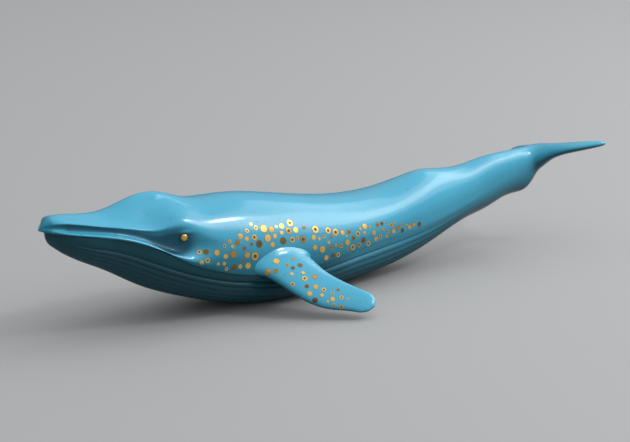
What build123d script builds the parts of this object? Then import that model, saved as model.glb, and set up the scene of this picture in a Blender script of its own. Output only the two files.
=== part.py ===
from build123d import *
import os
from collections import namedtuple
from math import cos, pi, radians, sin

# A glazed porcelain whale that rests on its belly, nose to -X, tail to +X, left side to -Y.
# It is cast in pieces that are luted together before the glaze: two half bodies that meet along the
# mouth line and the upper border of the pleats, two flippers, the tail flukes and two eye beads.

# Driving sizes of the whole animal, in millimetres
body_length = 248.0
body_width = 40.0
back_height = 43.8
splash_guard_rise = 3.6
wall = 3.6
slip_gap = 0.2

# Pleats of the throat and belly
pleat_count = 16
pleat_depth = 0.8
groove_share = 0.3
smooth_lip_angle = 22.0

# Foot, ground flat under the belly, with the hole that lets the kiln gases out
foot_grind = 1.3
vent_diameter = 4.0

# Flippers: blade from the flank to the tip, and the oval stub that keys it into the flank
flipper_length = 34.7
flipper_root_chord = 24.0
flipper_root_thickness = 9.5
flipper_sweep = 39.0
flipper_droop = 17.0
flipper_pitch = 38.0
stub_length = 11.0
stub_height = 4.4
stub_depth = 2.2
stub_reach = 3.0
stub_clearance = 0.15

# Flukes, rolled a little to the whale's right, as the tail turns
fluke_span = 53.0
fluke_length = 27.0
fluke_thickness = 6.4
fluke_roll = 12.0
fluke_lift = 0.1
tongue_width = 4.0
tongue_height = 8.0
tongue_depth = 5.0

# Eyes: gilt beads on short stems
eye_diameter = 2.8
eye_rise = 1.0
eye_stem_diameter = 1.6
eye_stem_depth = 1.8
eye_clearance = 0.1

# How far a cutting form runs past what it cuts
overrun = 4.0

# Places along the body are shares of its length, widths are shares of half its width and heights are
# shares of its back. Crest is a share of the splash guard's rise, dip of the depth ground off the
# foot, cove of the hollow between rostrum and lip, pleat of the full pleat depth, and lip of the angle
# that the smooth lower lip takes up.
Station = namedtuple("Station", "along seam back crest keel dip flank belly cove pleat lip")
nose_shares = Station(0, 0.925, 0.985, 0, 0.856, 0, 0.1, 0.08, 0.3, 0, 1)
body_shares = [
    Station(0.010, 0.913, 1.0, 0, 0.82, 0, 0.26, 0.14, 0.6, 0.1, 1),
    Station(0.032, 0.884, 1.002, 0, 0.726, 0, 0.43, 0.37, 0.9, 0.4, 1),
    Station(0.097, 0.808, 1.0, 0, 0.514, 0, 0.63, 0.575, 1, 0.8, 1),
    Station(0.153, 0.694, 0.993, 1, 0.331, 0, 0.75, 0.7, 1, 1, 0.95),
    Station(0.194, 0.566, 0.995, 0.9, 0.228, 0, 0.83, 0.785, 0.65, 1, 0.82),
    Station(0.234, 0.466, 0.991, 0.1, 0.144, 0, 0.9, 0.865, 0.2, 1, 0.72),
    Station(0.306, 0.356, 0.97, 0, 0.025, 0, 0.975, 0.95, 0, 1, 0.62),
    Station(0.403, 0.326, 0.89, 0, 0, 1, 1, 0.975, 0, 1, 0.55),
    Station(0.504, 0.388, 0.792, 0, 0.006, 0.05, 0.93, 0.9, 0, 1, 0.55),
    Station(0.605, 0.434, 0.79, 0, 0.087, 0, 0.76, 0.735, 0, 0.8, 0.55),
    Station(0.685, 0.479, 0.852, 0.2, 0.217, 0, 0.6, 0.58, 0, 0.45, 0.55),
    Station(0.766, 0.566, 0.863, 0, 0.356, 0, 0.43, 0.415, 0, 0.1, 0.55),
    Station(0.819, 0.639, 0.909, 0, 0.42, 0, 0.33, 0.325, 0, 0, 0.55),
    Station(0.859, 0.701, 0.925, 0, 0.491, 0, 0.28, 0.28, 0, 0, 0.55),
]
# The end of the tail stock, which is cast with the flukes
stock_shares = [
    body_shares[-1],
    Station(0.891, 0.742, 0.934, 0, 0.511, 0, 0.25, 0.25, 0, 0, 0.55),
    Station(0.915, 0.776, 0.941, 0, 0.555, 0, 0.24, 0.24, 0, 0, 0.55),
    Station(0.931, 0.833, 0.945, 0, 0.662, 0, 0.225, 0.225, 0, 0, 0.55),
    Station(0.952, 0.879, 0.936, 0, 0.765, 0, 0.2, 0.2, 0, 0, 0.55),
]

# One side of the upper section, from the lip to the crown: the round flank, and the head with its
# lip, the cove above the lip and the sloping deck of the rostrum
flank_shares = [(1, 0), (0.985, 0.21), (0.93, 0.42), (0.8, 0.65), (0.47, 0.91), (0, 1)]
head_shares = [(1, 0), (0.97, 0.13), (0.74, 0.27), (0.62, 0.47), (0.33, 0.8), (0, 1)]

# Places round the underside of the tail stock, from the left side to the right, as shares of half a turn
keel_shares = [1, 0.875, 0.75, 0.625, 0.5, 0.375, 0.25, 0.125, 0]

# The hollow inside: place along the body, then width and height as shares of the room inside the wall
cavity_shares = [
    (0.15, 0.3, 0.35),
    (0.21, 0.7, 0.75),
    (0.31, 1, 1),
    (0.41, 1, 1),
    (0.51, 1, 1),
    (0.61, 1, 1),
    (0.69, 0.5, 0.5),
]

# Flipper sections: place along the blade, chord, thickness, how far it has turned to full pitch, and
# how far it lies ahead of the line from its seat to its tip, as a share of the root's chord
flipper_shares = [
    (-0.12, 1, 1, 0, 0.08),
    (0.12, 0.8, 0.82, 0.3, 0.15),
    (0.36, 0.65, 0.58, 0.8, 0.24),
    (0.6, 0.53, 0.44, 1, 0.244),
    (0.82, 0.41, 0.34, 1, 0.2),
    (0.95, 0.28, 0.23, 1, 0.18),
    (1, 0.12, 0.12, 1, 0.17),
]
flipper_along_share = 0.371
flipper_height_share = 0.4

# Fluke sections from the middle to a tip: place along the half span, leading and trailing edge along
# the fluke's length, and thickness
fluke_shares = [
    (0, -0.1, 0.62, 1),
    (0.3, 0.13, 0.62, 0.85),
    (0.6, 0.36, 0.8, 0.62),
    (0.85, 0.62, 0.96, 0.4),
    (1, 0.88, 1, 0.2),
]

# The blunt land along a blade's edge, as a share of its thickness there
edge_land_share = 0.3

eye_along_share = 0.205
eye_height_share = 0.742


def place_along(share):
    """X of a place along the body, with the middle of its length at zero."""
    return body_length * (share - 0.5)


def seam_height(station):
    return station.seam * back_height


def keel_height(station):
    return station.keel * back_height - station.dip * foot_grind


def cross_plane(share):
    """A plane across the body: its x runs to the whale's right and its y runs up."""
    return Plane(origin=(place_along(share), 0, 0), x_dir=(0, 1, 0), z_dir=(1, 0, 0))


def upper_outline(station, grow=0.0):
    """Points over the back, from the right lip to the left one."""
    half_width = station.flank * body_width / 2 + grow
    rise = station.back * back_height + grow - seam_height(station)
    half = []
    for flank, head in zip(flank_shares, head_shares):
        across = flank[0] + (head[0] - flank[0]) * station.cove
        up = flank[1] + (head[1] - flank[1]) * station.cove
        half.append((half_width * across, seam_height(station) + rise * up))
    crown = (0, half[-1][1] + station.crest * splash_guard_rise)
    return half[:-1] + [crown] + [(-y, z) for y, z in reversed(half[:-1])]


def lower_point(station, angle, inset=0.0):
    """A point of the belly's half ellipse, at an angle from the right lip down to the left one."""
    half_width = station.belly * body_width / 2 - inset
    depth = seam_height(station) - keel_height(station) - inset
    return (half_width * cos(angle), seam_height(station) - depth * sin(angle))


def seam_points(lift):
    """The parting line from nose to tail, seen from the side."""
    return [(place_along(row.along), seam_height(row) + lift) for row in [nose_shares] + body_shares]


def below_seam(lift):
    """A block with everything below the parting line, which is raised by the lift."""
    front = place_along(0) - overrun
    rear = place_along(body_shares[-1].along) + overrun
    line = seam_points(lift)
    with BuildPart() as block:
        with BuildSketch(Plane.XZ):
            with BuildLine():
                Spline(*line)
                Line(line[-1], (rear, line[-1][1]))
                Polyline((rear, line[-1][1]), (rear, -overrun), (front, -overrun), (front, line[0][1]))
                Line((front, line[0][1]), line[0])
            make_face()
        extrude(amount=body_width, both=True)
    return block.part


def upper_form(grow=0.0):
    """The whole upper body before it is hollowed and trimmed at the parting line."""
    with BuildPart() as form:
        for row in [nose_shares] + body_shares:
            outline = upper_outline(row, grow)
            sill = seam_height(row) - overrun
            with BuildSketch(cross_plane(row.along)):
                with BuildLine():
                    Spline(*outline)
                    Polyline(outline[-1], (outline[-1][0], sill), (outline[0][0], sill), outline[0])
                make_face()
        loft()
    return form.part


def lower_form():
    """The whole lower body, its pleats as smooth ridges between narrow grooves."""
    with BuildPart() as form:
        for row in body_shares:
            first = radians(smooth_lip_angle) * row.lip
            step = (pi - 2 * first) / pleat_count
            slope = step * groove_share / 2
            depth = row.pleat * pleat_depth
            sill = seam_height(row) + overrun
            right, left = lower_point(row, 0), lower_point(row, pi)
            with BuildSketch(cross_plane(row.along)):
                with BuildLine():
                    Line(right, lower_point(row, first, depth))
                    for i in range(pleat_count):
                        start, end = first + step * i, first + step * (i + 1)
                        near, far = lower_point(row, start + slope), lower_point(row, end - slope)
                        Line(lower_point(row, start, depth), near)
                        ThreePointArc(near, lower_point(row, (start + end) / 2), far)
                        Line(far, lower_point(row, end, depth))
                    Line(lower_point(row, pi - first, depth), left)
                    Polyline(left, (left[0], sill), (right[0], sill), right)
                make_face()
        loft()
    return form.part


def station_at(share):
    """The body's sizes between two stations."""
    for near, far in zip(body_shares, body_shares[1:]):
        if near.along <= share <= far.along:
            part_way = (share - near.along) / (far.along - near.along)
            return Station(*[a + (b - a) * part_way for a, b in zip(near, far)])


def cavity_form():
    """The hollow that both half bodies share, a wall in from the outside."""
    with BuildPart() as form:
        for along, width_share, height_share in cavity_shares:
            row = station_at(along)
            wide = row.belly * body_width - 2 * wall
            tall = row.back * back_height - keel_height(row) - 2 * wall
            with BuildSketch(cross_plane(along)):
                with Locations((0, keel_height(row) + wall + tall / 2)):
                    Ellipse(wide / 2 * width_share, tall / 2 * height_share)
        loft()
    return form.part


def blade_section(chord, thickness, ahead=0.0):
    """Three points over the top of a blade section and three back underneath, a land apart at the edges."""
    front, rear = -chord / 2 - ahead, chord / 2 - ahead
    land = thickness * edge_land_share
    top = [(rear, land / 2), (-ahead, thickness / 2), (front, land / 2)]
    under = [(front, -land / 2), (-ahead, -thickness / 2), (rear, -land / 2)]
    return top, under


def left_seat(solid, along_share, height_share):
    """Where a level line from the middle leaves the left side, with the outward direction there."""
    line = Axis((place_along(along_share), 0, height_share * back_height), (0, -1, 0))
    hits = [hit for face in solid.faces() for hit in face.find_intersection_points(line)]
    point, outward = min(hits, key=lambda hit: hit[0].Y)
    return point, outward if outward.Y < 0 else -outward


outer_upper = upper_form()
hollow = cavity_form()

# Seats of the pieces that are luted to the flanks and the tail
flipper_seat, _ = left_seat(outer_upper, flipper_along_share, flipper_height_share)
eye_seat, eye_outward = left_seat(outer_upper, eye_along_share, eye_height_share)
stub_plane = Plane(origin=flipper_seat, x_dir=(1, 0, 0), z_dir=(0, -1, 0))
eye_plane = Plane(origin=eye_seat, z_dir=eye_outward)
tail_end = body_shares[-1]
tongue_seat = Vector(place_along(tail_end.along), 0, seam_height(tail_end))
tongue_plane = cross_plane(tail_end.along).shift_origin(tongue_seat)


def flipper_stub(grow, reach):
    """The oval key of a left flipper, from the bottom of its socket out into the blade."""
    with BuildPart() as stub:
        with BuildSketch(stub_plane.offset(-stub_depth - grow)):
            Ellipse(stub_length / 2 + grow, stub_height / 2 + grow)
        extrude(amount=stub_depth + grow + reach)
    return stub.part


def eye_hole():
    """The round socket of a left eye bead."""
    with BuildPart() as hole:
        with BuildSketch(eye_plane.offset(-eye_stem_depth - eye_clearance)):
            Circle(eye_stem_diameter / 2 + eye_clearance)
        extrude(amount=eye_stem_depth + eye_clearance + overrun)
    return hole.part


def tail_tongue(grow, reach):
    """The tongue of the flukes, which keys both half bodies together at the tail."""
    with BuildPart() as tongue:
        with BuildSketch(tongue_plane.offset(-tongue_depth - grow)):
            SlotOverall(tongue_height + 2 * grow, tongue_width + 2 * grow, rotation=90)
        extrude(amount=tongue_depth + grow + reach)
    return tongue.part


flipper_socket = flipper_stub(stub_clearance, overrun)
eye_socket = eye_hole()
tongue_mortise = tail_tongue(stub_clearance, overrun)

# Upper half body: rostrum, splash guard, back, flanks and the top of the tail stock
with BuildPart() as upper_body:
    add(outer_upper)
    add(hollow, mode=Mode.SUBTRACT)
    add(below_seam(slip_gap), mode=Mode.SUBTRACT)
    add(tongue_mortise, mode=Mode.SUBTRACT)
    for socket in (flipper_socket, eye_socket):
        add(socket, mode=Mode.SUBTRACT)
        mirror(socket, about=Plane.XZ, mode=Mode.SUBTRACT)

# Lower half body: lower jaw, pleated throat and belly, ground foot and vent
with BuildPart() as lower_body:
    add(lower_form())
    add(below_seam(0), mode=Mode.INTERSECT)
    add(hollow, mode=Mode.SUBTRACT)
    add(tongue_mortise, mode=Mode.SUBTRACT)
    split(bisect_by=Plane.XY, keep=Keep.TOP)
    with Locations((flipper_seat.X, 0, wall)):
        Hole(vent_diameter / 2, wall + overrun)

# Left flipper: a swept paddle that turns its leading edge down, trimmed to sit on the flank
sweep, droop = radians(flipper_sweep), radians(flipper_droop)
flipper_axis = Vector(sin(sweep) * cos(droop), -cos(sweep) * cos(droop), -sin(droop))
with BuildPart() as left_flipper:
    for along, chord_share, thickness_share, turn, ahead_share in flipper_shares:
        square = (Vector(0, -1, 0) * (1 - turn) + flipper_axis * turn).normalized()
        level = Vector(0, 0, 1).cross(square)
        pitched = level.rotate(Axis((0, 0, 0), square), flipper_pitch * turn)
        middle = flipper_seat + flipper_axis * flipper_length * along
        chord, ahead = flipper_root_chord * chord_share, flipper_root_chord * ahead_share
        top, under = blade_section(chord, flipper_root_thickness * thickness_share, ahead)
        with BuildSketch(Plane(origin=middle, x_dir=pitched, z_dir=square)):
            with BuildLine():
                ThreePointArc(*top)
                Line(top[-1], under[0])
                ThreePointArc(*under)
                Line(under[-1], top[0])
            make_face()
    loft()
    add(upper_form(slip_gap), mode=Mode.SUBTRACT)
    add(flipper_stub(0, stub_reach))

# Right flipper
with BuildPart() as right_flipper:
    mirror(left_flipper.part, about=Plane.XZ)

# Tail flukes: the deep end of the tail stock, one crescent blade from tip to tip, and the tongue
fluke_root = Vector(place_along(1) - fluke_length, 0, seam_height(stock_shares[-1]) + fluke_lift)
fluke_plane = Plane(origin=fluke_root).rotated((-fluke_roll, 0, 0))
left_blade_shares = [(-span, *edges) for span, *edges in reversed(fluke_shares[1:])]
with BuildPart() as tail_flukes:
    for row in stock_shares:
        upper = upper_outline(row)
        with BuildSketch(cross_plane(row.along).offset(slip_gap)):
            with BuildLine():
                Spline(*upper)
                Spline(*[lower_point(row, pi * share) for share in keel_shares])
            make_face()
    loft()
    for span, lead, trail, thick in left_blade_shares + fluke_shares:
        half_way = fluke_length * (lead + trail) / 2
        middle = fluke_plane.from_local_coords((half_way, span * fluke_span / 2, 0))
        top, under = blade_section(fluke_length * (trail - lead), fluke_thickness * thick)
        with BuildSketch(Plane(origin=middle, x_dir=(1, 0, 0), z_dir=fluke_plane.y_dir)):
            with BuildLine():
                ThreePointArc(*top)
                Line(top[-1], under[0])
                ThreePointArc(*under)
                Line(under[-1], top[0])
            make_face()
    loft()
    add(tail_tongue(0, stub_reach))

# Left eye: a domed bead on its stem
eye_radius, stem_radius = eye_diameter / 2, eye_stem_diameter / 2
with BuildPart() as left_eye:
    with BuildSketch(Plane(origin=eye_seat, x_dir=eye_plane.x_dir, z_dir=-eye_plane.y_dir)):
        with BuildLine():
            TangentArc((0, eye_rise), (eye_radius, eye_clearance), tangent=(1, 0))
            Polyline((0, eye_rise), (0, -eye_stem_depth), (stem_radius, -eye_stem_depth))
            Line((stem_radius, -eye_stem_depth), (stem_radius, eye_clearance))
            Line((stem_radius, eye_clearance), (eye_radius, eye_clearance))
        make_face()
    revolve(axis=Axis(eye_seat, eye_outward))

# Right eye
with BuildPart() as right_eye:
    mirror(left_eye.part, about=Plane.XZ)

pieces = {
    "upper_body": upper_body,
    "lower_body": lower_body,
    "left_flipper": left_flipper,
    "right_flipper": right_flipper,
    "tail_flukes": tail_flukes,
    "left_eye": left_eye,
    "right_eye": right_eye,
}
os.makedirs("parts", exist_ok=True)
for name, piece in pieces.items():
    piece.part.label = name
    export_step(piece.part, f"parts/{name}.step")
    print(name, "volume", round(piece.part.volume), "mm3")
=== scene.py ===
# %% [markdown]
# # A porcelain whale with gold spots
# The object is a hollow whale cast in porcelain, dipped in a glossy blue glaze and touched with gold lustre.
# It has no moving part, so this lesson is about smooth animal forms that meet without a visible joint, and
# about a thick glaze. Each form is a grid of points worked out from a few body stations. A sculpted or
# subdivided block would be quicker to start, but it drifts away from the measured solids.

# %% Load the frame
from collections import namedtuple
from math import cos, pi, radians, sin

import bmesh
import bpy
import numpy as np
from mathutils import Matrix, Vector


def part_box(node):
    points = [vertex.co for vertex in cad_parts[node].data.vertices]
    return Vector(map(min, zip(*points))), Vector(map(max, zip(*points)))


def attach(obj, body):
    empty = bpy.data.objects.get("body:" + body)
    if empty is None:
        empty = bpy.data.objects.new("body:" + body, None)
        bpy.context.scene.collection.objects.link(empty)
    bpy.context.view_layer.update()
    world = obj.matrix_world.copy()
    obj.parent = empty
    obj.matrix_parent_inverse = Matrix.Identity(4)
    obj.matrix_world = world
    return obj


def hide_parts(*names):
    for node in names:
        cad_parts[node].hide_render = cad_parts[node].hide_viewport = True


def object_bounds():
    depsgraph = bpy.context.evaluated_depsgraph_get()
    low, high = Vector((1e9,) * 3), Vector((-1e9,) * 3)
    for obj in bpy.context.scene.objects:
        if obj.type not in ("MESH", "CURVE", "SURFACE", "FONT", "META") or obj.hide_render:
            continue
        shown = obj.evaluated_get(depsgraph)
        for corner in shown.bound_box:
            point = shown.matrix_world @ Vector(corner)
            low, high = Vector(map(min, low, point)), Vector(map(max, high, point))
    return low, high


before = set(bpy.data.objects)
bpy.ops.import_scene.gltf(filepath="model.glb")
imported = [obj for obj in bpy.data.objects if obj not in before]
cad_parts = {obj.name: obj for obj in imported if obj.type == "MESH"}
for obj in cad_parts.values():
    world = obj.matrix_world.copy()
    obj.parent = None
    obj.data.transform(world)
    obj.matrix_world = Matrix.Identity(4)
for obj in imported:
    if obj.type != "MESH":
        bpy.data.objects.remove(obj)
cad_low, cad_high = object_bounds()
mm = 0.001
tiny = 1e-12
print("frame box in mm", [round(side / mm, 1) for side in (*cad_low, *cad_high)])

# %% [markdown]
# ## The body's stations
# A boat builder draws a hull as sections at stations along the keel. A whale's body works the same way: each
# row gives a place along the body and, there, the height of the mouth line, the back, the keel and so on, as
# shares of the animal's length, width and height. A smooth curve through the rows gives every place between.

# %% Stations along the whale
body_length = cad_high.x - cad_low.x
half_width = (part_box("upper_body")[1].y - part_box("upper_body")[0].y) / 2
back_height = 43.8 * mm
guard_rise = 3.6 * mm
foot_grind = 1.3 * mm
Station = namedtuple("Station", "along seam back crest keel dip flank belly cove pleat")
station_shares = np.array([
    (0, 0.905, 0.985, 0, 0.846, 0, 0.1, 0.08, 0.3, 0),
    (0.010, 0.897, 1.004, 0, 0.805, 0, 0.26, 0.14, 0.55, 0.1),
    (0.032, 0.875, 1.013, 0, 0.708, 0, 0.43, 0.37, 1, 0.4),
    (0.097, 0.808, 0.991, 0, 0.505, 0, 0.63, 0.575, 1, 0.8),
    (0.153, 0.694, 0.993, 1, 0.322, 0, 0.75, 0.7, 1, 1),
    (0.194, 0.566, 0.995, 0.9, 0.218, 0, 0.83, 0.785, 0.72, 1),
    (0.234, 0.466, 0.991, 0.1, 0.136, 0, 0.9, 0.865, 0.2, 1),
    (0.306, 0.356, 0.97, 0, 0.025, 0, 0.975, 0.95, 0, 1),
    (0.403, 0.326, 0.89, 0, 0, 1, 1, 0.975, 0, 1),
    (0.504, 0.388, 0.797, 0, 0.006, 0.05, 0.93, 0.9, 0, 1),
    (0.605, 0.434, 0.799, 0, 0.068, 0, 0.76, 0.735, 0, 0.8),
    (0.685, 0.479, 0.857, 0.2, 0.196, 0, 0.6, 0.58, 0, 0.45),
    (0.766, 0.566, 0.863, 0, 0.356, 0, 0.43, 0.415, 0, 0.1),
    (0.819, 0.639, 0.909, 0, 0.42, 0, 0.33, 0.325, 0, 0),
    (0.859, 0.701, 0.925, 0, 0.491, 0, 0.28, 0.28, 0, 0),
    (0.891, 0.742, 0.934, 0, 0.511, 0, 0.25, 0.25, 0, 0),
    (0.915, 0.776, 0.941, 0, 0.555, 0, 0.24, 0.24, 0, 0),
    (0.931, 0.833, 0.945, 0, 0.662, 0, 0.225, 0.225, 0, 0),
    (0.952, 0.879, 0.936, 0, 0.765, 0, 0.2, 0.2, 0, 0),
])
print("stations", len(station_shares), "body length in mm", round(body_length / mm, 1))


# %% A smooth curve through the stations
def smooth_through(places, values, wanted):
    """Values at the wanted places of the smooth curve (a natural cubic spline) through the given ones."""
    places, values = np.asarray(places, float), np.asarray(values, float)
    wanted = np.asarray(wanted, float)
    gaps = np.diff(places)
    slopes = np.diff(values, axis=0) / gaps[:, None]
    count = len(places)
    system, pull = np.eye(count), np.zeros_like(values)
    for at in range(1, count - 1):
        system[at, at - 1:at + 2] = gaps[at - 1], 2 * (gaps[at - 1] + gaps[at]), gaps[at]
        pull[at] = 6 * (slopes[at] - slopes[at - 1])
    bend = np.linalg.solve(system, pull)
    cell = np.clip(np.searchsorted(places, wanted, side="right") - 1, 0, count - 2)
    gap, run = gaps[cell][:, None], (wanted - places[cell])[:, None]
    slope = slopes[cell] - gap * (2 * bend[cell] + bend[cell + 1]) / 6
    change = (bend[cell + 1] - bend[cell]) / (6 * gap)
    return values[cell] + slope * run + bend[cell] / 2 * run**2 + change * run**3


def body_at(shares):
    """The body's sizes at places along it: lengths in metres, cove and pleat still as shares."""
    row = Station(*smooth_through(station_shares[:, 0], station_shares, shares).T)
    dip = np.clip(row.dip, 0, 1) * foot_grind
    return Station(along=cad_low.x + body_length * np.asarray(shares), seam=row.seam * back_height,
                   back=row.back * back_height, crest=row.crest * guard_rise,
                   keel=row.keel * back_height - dip, dip=dip, flank=row.flank * half_width,
                   belly=row.belly * half_width, cove=np.clip(row.cove, 0, 1), pleat=np.clip(row.pleat, 0, 1))


print("heights of the back in mm", (body_at([0.1, 0.5, 0.8]).back / mm).round(1))

# %% [markdown]
# ## From rings of points to a closed mesh
# Every piece below is a row of closed rings, like the hoops of a barrel. Joining neighbour rings with
# four-sided faces gives an even skin that shades well, and a cap at each end closes it, so that each piece
# is a solid that could be printed. A ring that has shrunk to a point is merged into one vertex.

# %% Skin the rings
crease_angle = radians(50)
merge_distance = 0.001 * mm


def skin_rings(name, rings):
    """A closed object over rings of points, an array of rows by points by three."""
    rows, across = rings.shape[:2]
    corner = np.arange(rows * across).reshape(rows, across)
    here, beside = corner[:-1], np.roll(corner, -1, axis=1)[:-1]
    above, over = corner[1:], np.roll(corner, -1, axis=1)[1:]
    quads = np.stack([here, beside, over, above], axis=-1).reshape(-1, 4)
    faces = quads.tolist() + [corner[0].tolist(), corner[-1].tolist()]
    mesh = bpy.data.meshes.new(name)
    mesh.from_pydata(rings.reshape(-1, 3), [], faces)
    return finished(name, mesh)


def finished(name, mesh):
    """An object of a mesh whose doubles are merged, faces turned outwards and surface smooth."""
    work = bmesh.new()
    work.from_mesh(mesh)
    bmesh.ops.remove_doubles(work, verts=work.verts, dist=merge_distance)
    bmesh.ops.dissolve_degenerate(work, edges=work.edges, dist=merge_distance)
    bmesh.ops.recalc_face_normals(work, faces=work.faces)
    work.to_mesh(mesh)
    work.free()
    mesh.shade_smooth()
    mesh.set_sharp_from_angle(angle=crease_angle)
    piece = bpy.data.objects.new(name, mesh)
    bpy.context.scene.collection.objects.link(piece)
    print(name, len(mesh.vertices), "points")
    return piece


# %% Rounded ends and even steps
rows_per_end_row = 6


def rounded_run(start, end, rounding, count):
    """Places from start to end, crowded at the rounded start, and how full the section is at each."""
    turn = np.linspace(0, pi / 2, count // rows_per_end_row)
    nose = start + rounding * (1 - np.cos(turn))
    rest = np.linspace(start + rounding, end, count)[1:]
    return np.concatenate([nose, rest]), np.concatenate([np.sin(turn), np.ones(len(rest))])


def even_curve(points, count):
    """The same number of even steps along the smooth curve through each row of points."""
    curves = []
    for line in points:
        run = np.concatenate([[0], np.cumsum(np.linalg.norm(np.diff(line, axis=0), axis=1))])
        curves.append(smooth_through(run, line, np.linspace(0, run[-1], count)))
    return np.array(curves)


# %% [markdown]
# ## The upper body
# Two half sections are mixed along the whale: a round flank for the trunk, and a head section with a rolled
# lip, a hollow cove above it and the sloping deck of the rostrum. The crown rises into the splash guard in
# front of the blowhole. Then the skin is pushed in and out a little, as a modeller's thumb would: an eyelid,
# a hollow in front of the eye, a low ridge on the back and two faint ridges beside the blowhole.

# %% Shares of the upper sections
flank_shares = np.array([(1, 0), (0.997, 0.08), (0.99, 0.15), (0.98, 0.235), (0.962, 0.32), (0.93, 0.42),
                         (0.907, 0.475), (0.88, 0.53), (0.8, 0.65), (0.47, 0.91), (0, 1)])
lip_shares = np.array([(0.97, 0), (1, 0.42), (0.985, 0.78), (0.92, 1.04)])
cove_shares = np.array([(0.82, 0.08), (0.755, 0.42), (0.77, 0.84), (0.775, 0.95), (0.74, 1.05)])
deck_shares = np.array([(0.36, 0.62), (0, 1)])
head_across = np.concatenate([lip_shares, cove_shares, deck_shares])[:, 0]
deck_edge_shares = np.array([(0, 0.08), (0.02, 0.092), (0.05, 0.096), (0.08, 0.09), (0.104, 0.095),
                             (0.136, 0.118), (0.163, 0.172), (0.18, 0.245), (0.197, 0.325), (0.24, 0.41),
                             (0.3, 0.43), (1, 0.43)])
lip_height, lip_most_share, edge_most_share = 1.05 * mm, 0.33, 0.86
guard_shoulder_share = 0.5
print("points in half a section", len(flank_shares))


# %% Sections over the back
def lip_and_edge(row):
    """Heights above the mouth line of the top of the lip and of the deck's edge at each place."""
    place = (row.along - cad_low.x) / body_length
    edge = smooth_through(deck_edge_shares[:, 0], deck_edge_shares[:, 1:], place)[:, 0] * back_height
    edge = np.minimum(edge, edge_most_share * (row.back - row.seam))
    return np.minimum(lip_height, lip_most_share * edge), edge


def upper_sections(row):
    """Points over the back at each place, from the right lip to the left one."""
    rise, cove = (row.back - row.seam)[:, None], row.cove[:, None]
    lip, edge = [height[:, None] for height in lip_and_edge(row)]
    head_up = np.concatenate([lip_shares[:, 1] * lip, lip + cove_shares[:, 1] * (edge - lip),
                              edge + deck_shares[:, 1] * (rise - edge)], axis=1)
    across = flank_shares[:, 0] + (head_across - flank_shares[:, 0]) * cove
    up = flank_shares[:, 1] * rise + (head_up - flank_shares[:, 1] * rise) * cove
    right = np.stack([across * row.flank[:, None], row.seam[:, None] + up], axis=-1)
    right[:, -1, 1] += row.crest
    right[:, -2, 1] += row.crest * guard_shoulder_share
    left = right[:, -2::-1] * (-1, 1)
    return np.concatenate([right, left], axis=1)


# %% The upper body's grid
slip_gap = 0.05 * mm
closing_shares = (0.56, 0.68)
nose_round_share = 0.012
nose_fullness = 0.55
nose_rake, nose_rake_share = 2.2 * mm, 0.045
tail_share = 0.859
upper_rows, upper_points = 260, 150


def closing(shares):
    """Nought where the mouth line shows as a fine gap, one where slip has closed it towards the tail."""
    part = np.clip((shares - closing_shares[0]) / (closing_shares[1] - closing_shares[0]), 0, 1)
    return part * part * (3 - 2 * part)


along, full = rounded_run(0, tail_share, nose_round_share, upper_rows)
row = body_at(along)
section = even_curve(upper_sections(row), upper_points)
mouth = row.seam[:, None]
section[..., 0] *= full[:, None]
section[..., 1] = mouth + (section[..., 1] - mouth) * full[:, None]**nose_fullness
section[..., 1] += (slip_gap * (1 - closing(along)))[:, None]
climb = np.clip((section[..., 1] - mouth) / (row.back + row.crest - row.seam)[:, None], 0, 1)
rake = nose_rake * climb * np.clip(1 - along / nose_rake_share, 0, 1)[:, None]**2
upper_grid = np.concatenate([(row.along[:, None] + rake)[..., None], section], axis=-1)
print("upper body grid", upper_grid.shape[0], "by", upper_grid.shape[1])

# %% Eyelid, eye hollow, back ridge and blowhole ridges
Swelling = namedtuple("Swelling", "centre reach rise")
eye_low, eye_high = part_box("left_eye")
eye_place = np.array([eye_low.x + eye_high.x, -(eye_low.y + eye_high.y), eye_low.z + eye_high.z]) / 2
dorsal_share, dorsal_height_share = 0.678, 0.86
dorsal_place = np.array([cad_low.x + body_length * dorsal_share, 0, back_height * dorsal_height_share])
blowhole_place = np.array([-79.3, 2.7, 45.9]) * mm
eyelid = Swelling(centre=eye_place + np.array([0, 0, 1.9]) * mm,
                  reach=np.array([2.2, 9.0, 0.7]) * mm, rise=0.35 * mm)
eye_hollow = Swelling(centre=eye_place + np.array([-4.0, 0, -1.6]) * mm,
                      reach=np.array([7.0, 9.0, 4.4]) * mm, rise=-0.6 * mm)
back_ridge = Swelling(centre=dorsal_place, reach=np.array([8.0, 4.0, 9.0]) * mm, rise=0.6 * mm)
blowhole_ridge = Swelling(centre=blowhole_place, reach=np.array([2.2, 1.3, 9.0]) * mm, rise=0.4 * mm)


def outward_of(grid):
    """Unit normals of a grid of points that runs along the body and over it from right to left."""
    normal = np.cross(np.gradient(grid, axis=1), np.gradient(grid, axis=0))
    return normal / np.maximum(np.linalg.norm(normal, axis=-1, keepdims=True), tiny)


def swelling(grid, form):
    """A soft bump of height one round a form's centre, the same on both sides of the body."""
    offset = (np.abs(grid * (0, 1, 0)) + grid * (1, 0, 1) - form.centre) / form.reach
    return np.exp(-(offset**2).sum(axis=-1))


forms = (eyelid, eye_hollow, back_ridge, blowhole_ridge)
push = sum(swelling(upper_grid, form) * form.rise for form in forms)
upper_grid = upper_grid + outward_of(upper_grid) * push[..., None]
print("pushed in mm from", round(push.min() / mm, 2), "to", round(push.max() / mm, 2))

# %% Upper body skin
floor_shares = np.array([-0.85, -0.4, 0, 0.4, 0.85])


def with_floor(grid):
    """The rings of a half body: its grid from lip to lip, and a flat floor between the lips."""
    lip = grid[:, -1]
    floor = np.stack([lip * (1, -share, 1) for share in floor_shares], axis=1)
    return np.concatenate([grid, floor], axis=1)


upper_skin = skin_rings("upper_body_skin", with_floor(upper_grid))

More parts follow.
